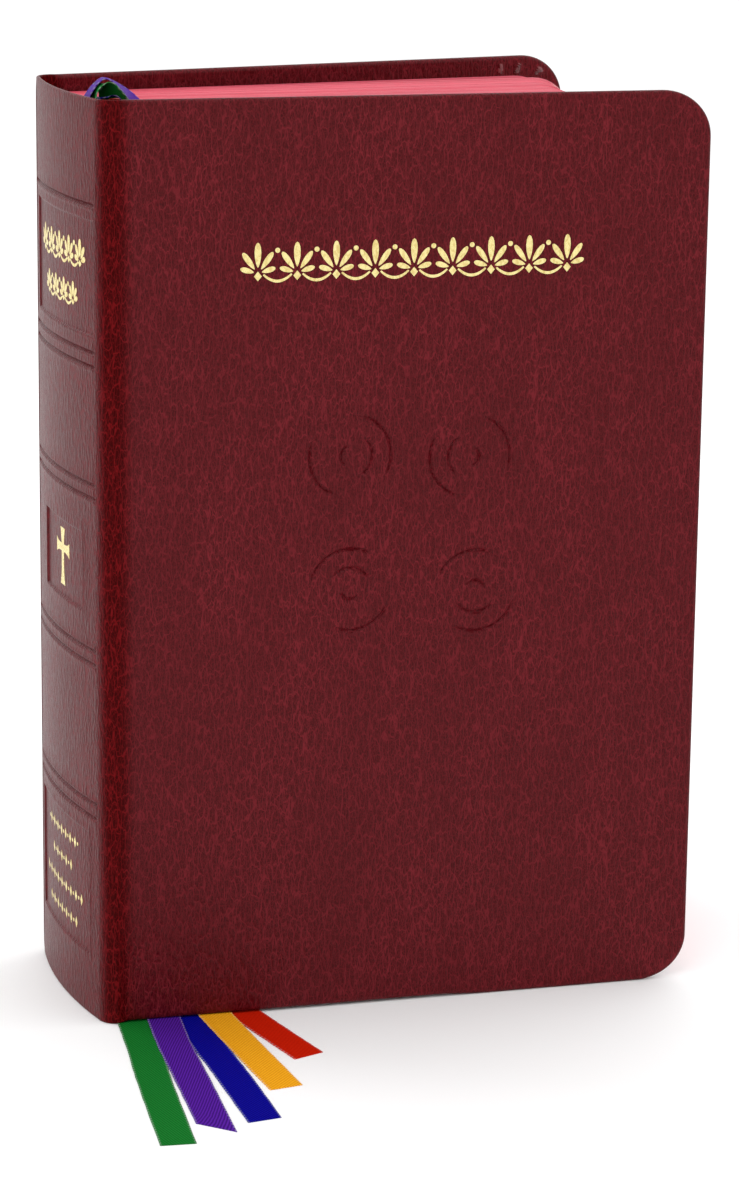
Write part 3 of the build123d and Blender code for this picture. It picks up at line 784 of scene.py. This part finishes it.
def fore_edge(row):
    """How far the fore-edge stands back at a height, and the direction its outline faces."""
    rise = max(0.0, EDGE_R - row, EDGE_R - (COVER_H - row))
    turn = math.copysign(math.asin(min(1.0, rise / EDGE_R)), row - COVER_H / 2)
    return EDGE_R * (1 - math.cos(turn)), turn


def make_cover(side, materials):
    name = "front_cover" if side < 0 else "back_cover"
    ahead = heading(-side * cover_frame(side)[0]).to_3d()
    columns, rows = cover_grid(side)
    end_column, end_row = len(columns) - 1, len(rows) - 1
    shell = Shell()
    outer, inner, middles, ridges = [], [], [], {}
    for column in columns:
        outer.append([])
        inner.append([])
        middles.append([])
        for row in rows:
            back = fore_edge(row)[0]
            u = column - back * smooth(columns[-1] - CORNER_REACH, columns[-1], column)
            thick = cover_thickness(u)
            z = row + (thick / 2 + tail_lift(side, u)) * max(0.0, 1 - row / EASE)
            z -= thick / 2 * max(0.0, 1 - (COVER_H - row) / EASE)
            on_edge = row in (rows[0], rows[-1]) or column == columns[-1]
            rim = min(z, COVER_H - z, COVER_W - back - u)
            relief = 0.0 if on_edge else cover_relief(side, u, z, rim)
            pleat = 0.0 if on_edge else pleats(u, z)
            plan = cover_plan(side, u)
            outer[-1].append(shell.add(lifted(plan, z, relief)[0]))
            inner[-1].append(shell.add(lifted(plan, z, -thick - pleat)[0]))
            middles[-1].append((*lifted(plan, z, -thick / 2), thick / 2))
            ridges[inner[-1][-1]] = pleat
    border = [(column, 0) for column in range(end_column)] + [(end_column, row) for row in range(end_row)]
    border += [(column, end_row) for column in reversed(range(end_column + 1))]
    rim = []
    for column, row in border:
        middle, out, radius = middles[column][row]
        away = UP if row else -UP
        if column == end_column:
            turn = fore_edge(rows[row])[1]
            away = ahead * math.cos(turn) + UP * math.sin(turn)
        rim.append((outer[column][row], inner[column][row], middle, out, away, radius))
    rings = shell.rolled_edge(rim)

    def inside_kind(column, row, corners):
        """Open over the card; the pleats' ridges take the lighter, glossier leather as a painted highlight."""
        if (HOLE[0] <= columns[column] and columns[column + 1] <= HOLE[1]
                and HOLE[2] <= rows[row] and rows[row + 1] <= HOLE[3]):
            return None
        return 2 if min(ridges[corner] for corner in corners) > RIDGE_SHINES else 1

    shell.quads(outer)
    shell.quads(inner, inside_kind)
    shell.strip(outer[0], inner[0])
    for end in (0, -1):
        shell.face(ring[end] for ring in rings)
    card_pocket(shell, side, columns, rows, inner)
    piece = new_piece(name + "_skin", shell.points, shell.faces, materials, None, shell.kinds)
    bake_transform(piece)
    stands_for(name + "_leather")


def carried(value, low, high, to_low, to_high):
    """A place between low and high, carried to the same share of the way from to_low to to_high."""
    return to_low + (value - low) / (high - low) * (to_high - to_low)


def card_pocket(shell, side, columns, rows, inner):
    """The space inside the turned-in leather that the card fills."""
    first, last = columns.index(HOLE[0]), columns.index(HOLE[1])
    low, high = rows.index(HOLE[2]), rows.index(HOLE[3])
    border = [(i, low) for i in range(first, last)] + [(last, j) for j in range(low, high)]
    border += [(i, high) for i in range(last, first, -1)] + [(first, j) for j in range(high, low, -1)]
    loops = [[inner[i][j] for i, j in border], [], [], []]
    for i, j in border:
        u = carried(columns[i], *HOLE[:2], PLATE_START + BOARD_INSET, COVER_W - BOARD_INSET)
        z = carried(rows[j], *HOLE[2:], BOARD_INSET, COVER_H - BOARD_INSET)
        over_u = u - (COVER_W - CORNER_R)
        over_z = abs(z - COVER_H / 2) - (COVER_H / 2 - CORNER_R)
        if over_u > 0 and over_z > 0:
            pull = (CORNER_R - BOARD_INSET) / math.hypot(over_u, over_z) - 1
            u += over_u * pull
            z += over_z * pull * (1 if z > COVER_H / 2 else -1)
        for loop, loop_u, loop_z, depth in (
                (1, columns[i], rows[j], COVER_T - 0.2), (2, u, z, COVER_T - 0.2), (3, u, z, SKIN_T)):
            loops[loop].append(shell.add(lifted(cover_plan(side, loop_u), loop_z, -depth)[0]))
    for before, after in zip(loops, loops[1:]):
        shell.strip(before, after, closed=True)
    shell.face(loops[-1])


# ---- gold foil ----
FOIL_LIFT = 0.035              # height of the foil's face over the leather
FOIL_T = 0.03


class Foil:
    """Thin stamped shapes laid on a surface; place(u, z, lift) gives the point in metres."""

    def __init__(self, place):
        self.place = place
        self.points = []
        self.faces = []

    def flat(self, outline):
        """A small closed shape given by its outline."""
        count = len(outline)
        first = len(self.points)
        for lift in (FOIL_LIFT - FOIL_T, FOIL_LIFT):
            self.points += [self.place(u, z, lift) for u, z in outline]
        self.faces.append(tuple(range(first, first + count)))
        self.faces.append(tuple(range(first + 2 * count - 1, first + count - 1, -1)))
        for side in range(count):
            after = (side + 1) % count
            self.faces.append((first + side, first + after, first + count + after, first + count + side))

    def stroke(self, line, width):
        """A line of changing width; width(share) is its full width at a share of its length."""
        left, right = [], []
        for place, (u, z) in enumerate(line):
            before = line[max(0, place - 1)]
            after = line[min(len(line) - 1, place + 1)]
            along = Vector((after[0] - before[0], after[1] - before[1])).normalized()
            half = width(place / (len(line) - 1)) / 2
            left.append((u - along.y * half, z + along.x * half))
            right.append((u + along.y * half, z - along.x * half))
        first = len(self.points)
        count = len(line)
        for lift in (FOIL_LIFT - FOIL_T, FOIL_LIFT):
            self.points += [self.place(u, z, lift) for u, z in left + right]
        for place in range(count - 1):
            a, b = first + place, first + place + 1
            c, d = b + count, a + count
            top = 2 * count
            self.faces += [(a, b, c, d), (d + top, c + top, b + top, a + top),
                           (a, a + top, b + top, b), (d, c, c + top, d + top)]
        for a in (first, first + count - 1):
            self.faces.append((a, a + count, a + 3 * count, a + 2 * count))

    def leaf(self, u, z, length, width, degrees):
        """A pointed leaf starting at (u, z)."""
        turn = math.radians(degrees)
        outline = []
        for step in range(14):
            swing = 2 * math.pi * step / 14
            ahead = length * (0.5 - 0.5 * math.cos(swing))
            across = width / 2 * math.sin(swing) * math.sqrt(abs(math.sin(swing / 2)))
            outline.append((u + ahead * math.cos(turn) - across * math.sin(turn),
                            z + ahead * math.sin(turn) + across * math.cos(turn)))
        self.flat(outline)

    def dot(self, u, z, radius):
        self.flat([(u + radius * math.cos(step * math.pi / 6), z + radius * math.sin(step * math.pi / 6))
                   for step in range(12)])

    def lozenge(self, u, z, half_u, half_z):
        self.flat([(u - half_u, z), (u, z - half_z), (u + half_u, z), (u, z + half_z)])

    def piece(self, name, material, body):
        new_piece(name, self.points, self.faces, [material], body)


def frieze(foil, low_u, high_u, low_z, height, units, heavy=1.0):
    """A row of palmettes on swags, with a bead between each two."""
    pitch = (high_u - low_u) / units
    root = low_z + 0.36 * height
    for unit in range(units):
        u = low_u + (unit + 0.5) * pitch
        foil.leaf(u, root + 0.04 * height, 0.62 * height, 0.20 * pitch * heavy, 90)
        for way in (-1, 1):
            foil.leaf(u + way * 0.08 * pitch, root, 0.52 * height, 0.17 * pitch * heavy, 90 - way * 36)
            foil.leaf(u + way * 0.10 * pitch, root - 0.07 * height, 0.36 * pitch,
                      0.16 * pitch * heavy, 90 - way * 74)
        foil.lozenge(u, root - 0.17 * height, 0.10 * pitch * heavy, 0.12 * height)
        if unit:
            edge = low_u + unit * pitch
            foil.dot(edge, low_z + 0.82 * height, 0.065 * pitch * heavy)
            swag = []
            for step in range(13):
                swing = step / 6 - 1
                swag.append((edge + swing * 0.36 * pitch, low_z + height * (0.06 + 0.17 * swing * swing)))
            foil.stroke(swag, lambda share: 0.10 * pitch * heavy * (0.45 + 1.1 * share * (1 - share)))


def front_place(u, z, lift):
    rim = min(z, COVER_H - z, COVER_W - u)
    return at(*lifted(cover_plan(-1, u), z, cover_relief(-1, u, z, rim) + lift)[0])


def spine_place(y, z, lift):
    return at(*lifted(spine_plan(y), z, spine_relief(y, z) + lift)[0])


CROSS_Y = 22.0
CROSS_FOOT = 82.7
CROSS_TOP = 93.9
CROSS_BAR = 90.0               # height of the cross's bar
HALF_BAR = 4.3
HALF_LIMB = 0.76               # the arms start outside the upright
LIMB_W = 1.5                   # least width of a limb, which its ends double
BEAD_ROWS = (10.5, 6.5, 12.5, 9.5)   # half widths of the rows at the foot of the spine
BEAD_ROW_TOP = 32.6
BEAD_ROW_PITCH = 5.4
BEAD_PITCH = 1.6
BEAD_Y = 24.5


def make_gilding(material):
    front = Foil(front_place)
    frieze(front, 25.3, 93.4, 143.4, 7.6, 9)
    front.piece("front_gilding", material, "front_cover")
    spine = Foil(spine_place)
    frieze(spine, 7.5, 37.5, 145.6, 5.6, 5, 1.35)
    frieze(spine, 11.5, 33.5, 138.0, 4.8, 4, 1.35)
    upright = [(CROSS_Y, CROSS_FOOT + (CROSS_TOP - CROSS_FOOT) * step / 16) for step in range(17)]
    spine.stroke(upright, lambda share: LIMB_W * (1 + abs(2 * share - 1) ** 3))
    for way in (-1, 1):
        arm = [(CROSS_Y + way * (HALF_LIMB + (HALF_BAR - HALF_LIMB) * step / 8), CROSS_BAR)
               for step in range(9)]
        spine.stroke(arm, lambda share: LIMB_W * (1 + share ** 3))
    for row, half_width in enumerate(BEAD_ROWS):
        z = BEAD_ROW_TOP - row * BEAD_ROW_PITCH
        count = round(half_width / BEAD_PITCH)
        for step in range(-count, count + 1):
            y = BEAD_Y + step * half_width / count
            if step % 2 == 0:
                spine.lozenge(y, z, 0.62, 1.15)
            else:
                spine.dot(y, z, 0.38)
    spine.piece("spine_gilding", material, "root")


# ---- the block of sewn gatherings ----
LEAF_GROUPS = 6                # groups of leaves in a gathering
PAGE_W = 111.0
SECTION_GAP = 0.07
STACK_START = 2.55             # from the front outer corner of the spine to the first gathering
RIBBON_SLOT = 1.5              # the opening for the ribbons, behind this many gatherings
FRONT_MOVING = 3
FOLD_X = 2.8                   # the folds at the block's front and back
FOLD_ROUND = 0.8               # and how far the rounded back stands out beyond them
FORE_EDGE_HOLLOW = 4.5
FRONT_CLOSED = -1.5            # directions of the block's front and back faces, in degrees
BACK_CLOSED = 2.4
LEAF_OUT = (-0.08, 0.03)       # how far a group of leaves stands out of line
TAIL_SHARES = (0, 0.06, 0.14, 0.25, 0.29, 0.33, 0.37, 0.41, 0.5, 0.65, 0.8)   # close where leaves swell
SWELL_REACH = (31, 44)         # where along a leaf the swelling into the opening grows
CORNER_STEPS = 9
SECTION_PITCH = (BOOK_T - 2 * STACK_START - RIBBON_SLOT) / SECTIONS
SECTION_T = SECTION_PITCH - SECTION_GAP
couplings = {rule["joint"]: rule for rule in frame["record"]["behaviour"]["couplings"]}
node_bodies = {node: body for body, nodes in frame["record"]["behaviour"]["bodies"].items() for node in nodes}


def follower_angle(body):
    """How far a leaf or gathering stands off its closed place at rest, in degrees about +Z."""
    rule = couplings.get(body + "_hinge")
    if rule is None:
        return 0.0
    sign = -joints[body + "_hinge"]["axis"][2]
    return sign * rule["ratio"] * joints[rule["follows"]]["range_deg"][0]


def leaf_outline(low_x, width, out):
    """A leaf's outline, from the fold along the tail to the fore-edge and back along the head."""
    low = BLOCK_LOW - out
    corner_x = low_x + width - PAGE_CORNER
    line = [(low_x + (corner_x - low_x) * share, low) for share in TAIL_SHARES]
    for step in range(CORNER_STEPS + 1):
        turn = math.radians(90 * step / CORNER_STEPS)
        line.append((corner_x + PAGE_CORNER * math.sin(turn), low + PAGE_CORNER * (1 - math.cos(turn))))
    line.append((low_x + width, (low * 2 + BLOCK_HIGH) / 3))
    return line + [(x, BLOCK_LOW + BLOCK_HIGH - z) for x, z in reversed(line)]


def leaf_stack(name, levels, hinge, angle, materials, body):
    """Leaves between two page faces; levels hold (y at the fold, direction in degrees, fold x,
    how far the edge stands out, swelling into the ribbons' opening, width)."""
    points, faces, kinds, rings = [], [], [], []
    for y_fold, direction, fold, out, swell, width in levels:
        low_x = hinge[0] - fold
        rings.append([])
        for x, z in leaf_outline(low_x, width + fold + out, out):
            away = x - hinge[0]
            rise = away * math.tan(math.radians(direction)) - swell * smooth(*SWELL_REACH, away)
            turned = Vector((away, y_fold + rise - hinge[1]))
            turned.rotate(Matrix.Rotation(math.radians(angle), 2))
            rings[-1].append(len(points))
            points.append(at(hinge[0] + turned.x, hinge[1] + turned.y, z))
    count = len(rings[0])
    for before, after in zip(rings, rings[1:]):
        for place in range(count):
            following = (place + 1) % count
            faces.append((before[place], before[following], after[following], after[place]))
            kinds.append(1 if place == count - 1 else 0)
    for ring in (rings[0], rings[-1]):
        for place in range(count // 2 - 1):
            faces.append((ring[place], ring[place + 1], ring[count - 2 - place], ring[count - 1 - place]))
            kinds.append(1)
    return new_piece(name, points, faces, materials, body, kinds)


def off_middle(y):
    """Where a leaf lies in the block's thickness: 0 in the middle, -1 and 1 at its faces."""
    return (y - BOOK_T / 2) / (BOOK_T / 2 - STACK_START)


def make_gathering(number, edge, paper, chance):
    """One gathering: groups of leaves a hair out of line with each other, between two page faces."""
    index = number - 1
    opening = RIBBON_SLOT if index >= FRONT_MOVING else 0
    y_front = STACK_START + index * SECTION_PITCH + opening
    y_mid = y_front + SECTION_PITCH / 2
    hinge = (FOLD_X - FOLD_ROUND * (1 - off_middle(y_mid) ** 2), y_mid)
    wedge = (BACK_CLOSED - FRONT_CLOSED) / SECTIONS
    levels = []
    for group in range(LEAF_GROUPS):
        out = chance.uniform(*LEAF_OUT)
        for share in (group / LEAF_GROUPS, (group + 0.93) / LEAF_GROUPS):
            fold = SECTION_T / 2 * math.sqrt(max(0.0, 1 - (2 * share - 1) ** 2))
            swell = (RIBBON_SLOT - 0.2) * (1 - share) if index == FRONT_MOVING else 0
            y_leaf = y_mid + SECTION_T * (share - 0.5)
            levels.append((y_leaf, FRONT_CLOSED + wedge * (index + share), fold, out, swell,
                           PAGE_W - FORE_EDGE_HOLLOW * (1 - off_middle(y_leaf) ** 2)))
    node = f"page_section_{number:02d}"
    body = node_bodies[node]
    piece = leaf_stack(f"gathering_{number:02d}", levels, hinge, follower_angle(body), [edge, paper], body)
    stands_for(node)


FLYLEAF_X = 3.3                # the flyleaf's fold
FLYLEAF_T = 0.25
FLYLEAF_MID = 2.175            # from the outer corner of the spine to the middle of its thickness
LEAF_ROOT = 1.1                # the leaf starts this far from its fold, clear of the bending joint
FLYLEAF_SHORT = 2.4            # and ends this much inside the page width


def make_flyleaf(side, edge, paper):
    name = "front" if side < 0 else "back"
    hinge = (FLYLEAF_X, FLYLEAF_MID if side < 0 else BOOK_T - FLYLEAF_MID)
    levels = []
    for share in (-0.5, -0.04, 0.04, 0.5):
        out = -0.05 if abs(share) < 0.1 else 0.0
        levels.append((hinge[1] + FLYLEAF_T * share, 0.0, -LEAF_ROOT, out, 0, PAGE_W - FLYLEAF_SHORT))
    body = name + "_leaf"
    closed = FRONT_CLOSED if side < 0 else BACK_CLOSED
    piece = leaf_stack(name + "_free_leaf", levels, hinge, closed + follower_angle(body), [edge, paper], body)
    stands_for(name + "_flyleaf")


# ---- what lies behind the spine: the CAD nodes in their real materials ----
def dress_inner_pieces():
    card = paper_material("grey_card", (0.36, 0.31, 0.24), 0.8)
    endpaper = paper_material("cream_endpaper", (0.80, 0.75, 0.64), 0.45)
    kraft = paper_material("kraft_lining", (0.36, 0.23, 0.12), 0.6)
    gauze = woven_material("mull_gauze", (0.80, 0.78, 0.70), (0.52, 0.49, 0.42), 0.9)
    band = woven_material("headband_silk", (0.80, 0.74, 0.60), (0.40, 0.01, 0.015), 0.7)
    thread = woven_material("linen_thread", (0.82, 0.80, 0.74), (0.60, 0.57, 0.50), 0.3)
    for material, nodes in (
            (card, ("spine_stiffener", "front_cover_board", "back_cover_board")),
            (endpaper, ("front_pastedown", "back_pastedown")), (kraft, ("spine_lining",)),
            (gauze, ("mull", "ribbon_header")), (band, ("headband", "tailband")),
            (thread, ("sewing_threads",))):
        for node in nodes:
            mesh = frame["nodes"][node].data
            mesh.materials.clear()
            mesh.materials.append(material)


def main():
    make_camera()
    make_studio()
    for name, spec in RIBBONS.items():
        make_ribbon(name, spec)
    leather = leather_material("burgundy_leather", 1.0, 0.1)
    # painted light: a copy of the same leather, 1.1 times lighter, for the inside of the covers
    turned_in = leather_material("turned_in_leather", 1.1, 0.06)
    # painted highlight: the same leather, 1.2 times lighter and much glossier, on the ridges of the pleats
    pleat_highlight = leather_material("pleat_highlight_leather", 1.2, 0.6)
    make_spine(leather)
    for side in (-1, 1):
        make_cover(side, [leather, turned_in, pleat_highlight])
    make_gilding(foil_material())
    edge = edge_material()
    paper = paper_material("page_paper", (0.82, 0.78, 0.70), 0.4, (0.66, 0.10, 0.15))
    chance = random.Random(7)
    for number in range(1, SECTIONS + 1):
        make_gathering(number, edge, paper, chance)
    for side in (-1, 1):
        make_flyleaf(side, edge, paper)
    dress_inner_pieces()
    bpy.context.scene.view_settings.view_transform = "Standard"


main()
